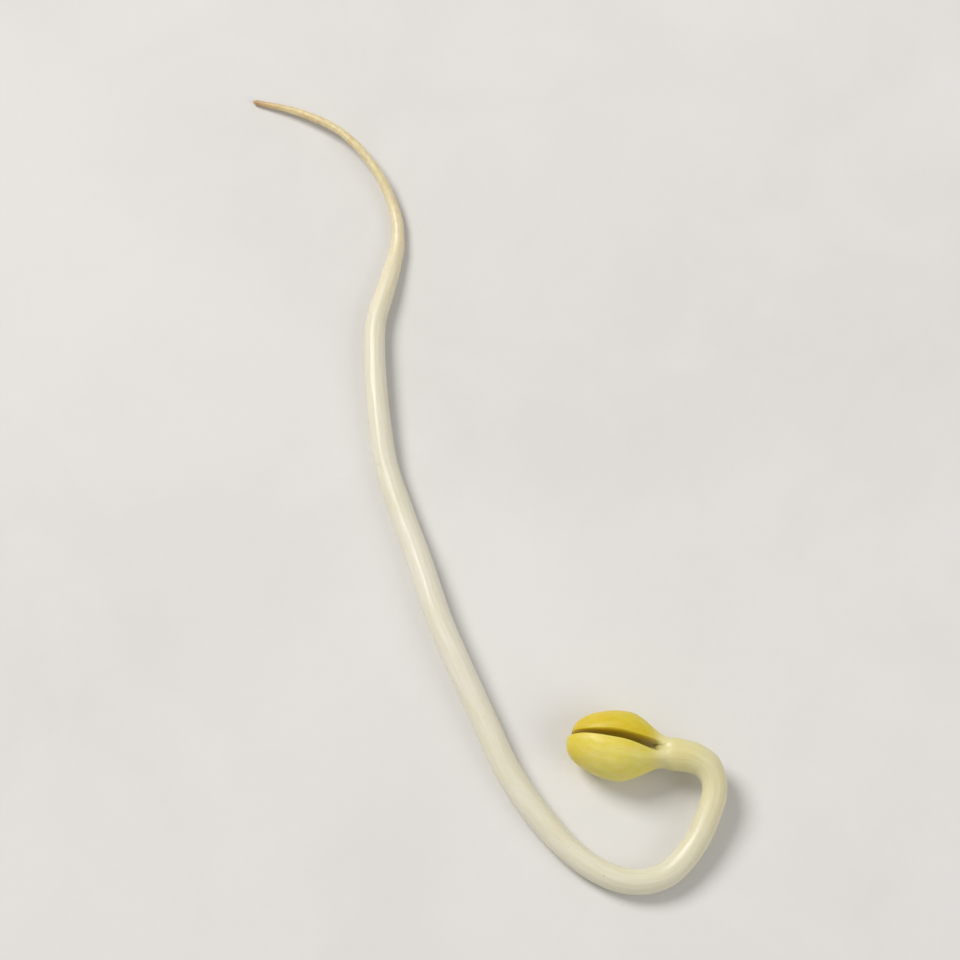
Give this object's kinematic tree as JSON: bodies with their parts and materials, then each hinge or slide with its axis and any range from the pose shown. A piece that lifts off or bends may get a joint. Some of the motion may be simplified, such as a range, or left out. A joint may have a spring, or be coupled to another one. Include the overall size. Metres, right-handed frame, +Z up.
{
  "type": "soybean sprout",
  "caption": "Single fresh soybean sprout lying on a surface, with a long white curved stem, thin tan root, hooked neck and plump yellow seed leaves.",
  "frame": {"origin": "on the surface that the sprout lies on, under the middle of its box", "axes": "+Z up from the surface, +Y along the sprout towards the root tip, +X towards the side that the neck is on"},
  "size_m": [0.0554, 0.0988, 0.007],
  "materials": {
    "stem": "moist satin plant skin, ivory white",
    "seed_leaf": "smooth satin plant skin, yellow",
    "first_leaves": "soft matt leaf, pale green yellow"
  },
  "bodies": {
    "root": {"stem_and_root": "stem", "cotyledon_front": "seed_leaf", "cotyledon_rear": "seed_leaf", "plumule": "first_leaves"}
  },
  "joints": []
}
